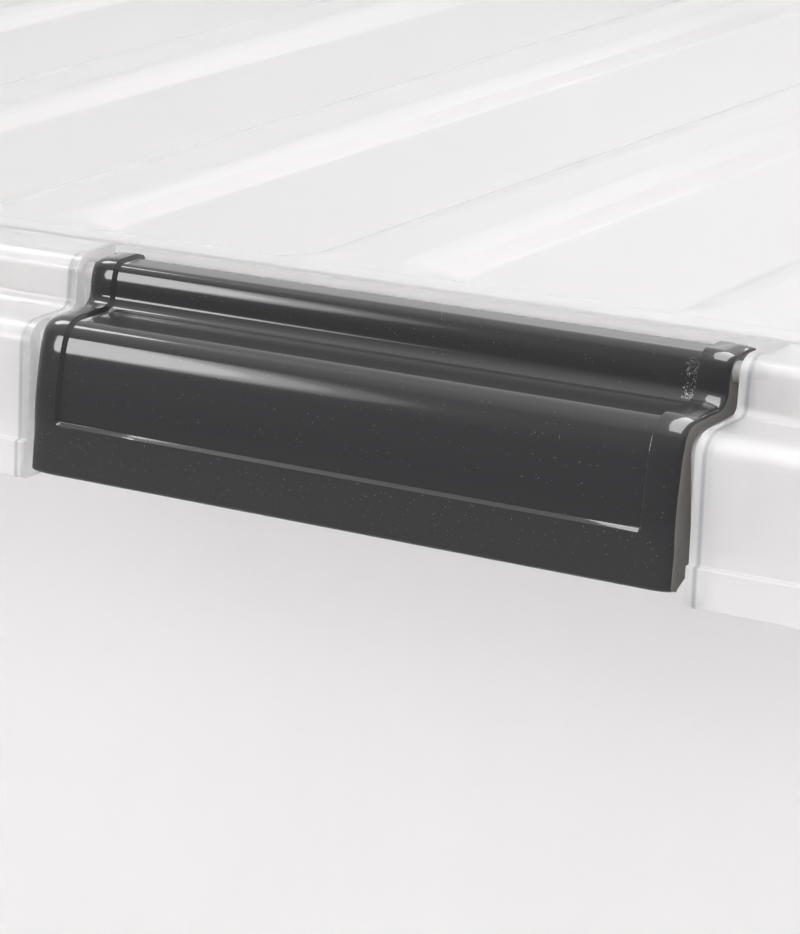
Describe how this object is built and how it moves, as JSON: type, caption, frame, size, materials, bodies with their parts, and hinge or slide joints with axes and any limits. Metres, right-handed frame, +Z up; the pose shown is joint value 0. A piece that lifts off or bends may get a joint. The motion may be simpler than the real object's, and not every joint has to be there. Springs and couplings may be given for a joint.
{
  "type": "latching storage box",
  "caption": "Clear plastic storage box with a ribbed lift-off lid that dark hinged buckles hold down on its long sides.",
  "frame": {"origin": "centre of the base, on the surface that the box stands on", "axes": "+X along the long side, -Y towards the front long side, +Z up"},
  "size_m": [0.6198, 0.421, 0.3],
  "materials": {
    "clear_plastic": "milky translucent polypropylene, smooth",
    "charcoal_plastic": "charcoal polypropylene, semi-gloss"
  },
  "bodies": {
    "box_body": {"box_body": "clear_plastic"},
    "lid": {"lid": "clear_plastic"},
    "latch_front_left": {"latch_front_left": "charcoal_plastic"},
    "latch_front_right": {"latch_front_right": "charcoal_plastic"},
    "latch_back_left": {"latch_back_left": "charcoal_plastic"},
    "latch_back_right": {"latch_back_right": "charcoal_plastic"}
  },
  "joints": [
    {"name": "lid_lift", "type": "slide", "parent": "box_body", "child": "lid", "axis": [0, 0, 1], "range_m": [0, 0.32]},
    {"name": "front_left_latch_hinge", "type": "hinge", "parent": "lid", "child": "latch_front_left", "pos_m": [-0.12, -0.186, 0.2961], "axis": [-1, 0, 0], "range_deg": [0, 110]},
    {"name": "front_right_latch_hinge", "type": "hinge", "parent": "lid", "child": "latch_front_right", "pos_m": [0.12, -0.186, 0.2961], "axis": [-1, 0, 0], "range_deg": [0, 110]},
    {"name": "back_left_latch_hinge", "type": "hinge", "parent": "lid", "child": "latch_back_left", "pos_m": [-0.12, 0.186, 0.2961], "axis": [1, 0, 0], "range_deg": [0, 110]},
    {"name": "back_right_latch_hinge", "type": "hinge", "parent": "lid", "child": "latch_back_right", "pos_m": [0.12, 0.186, 0.2961], "axis": [1, 0, 0], "range_deg": [0, 110]}
  ]
}
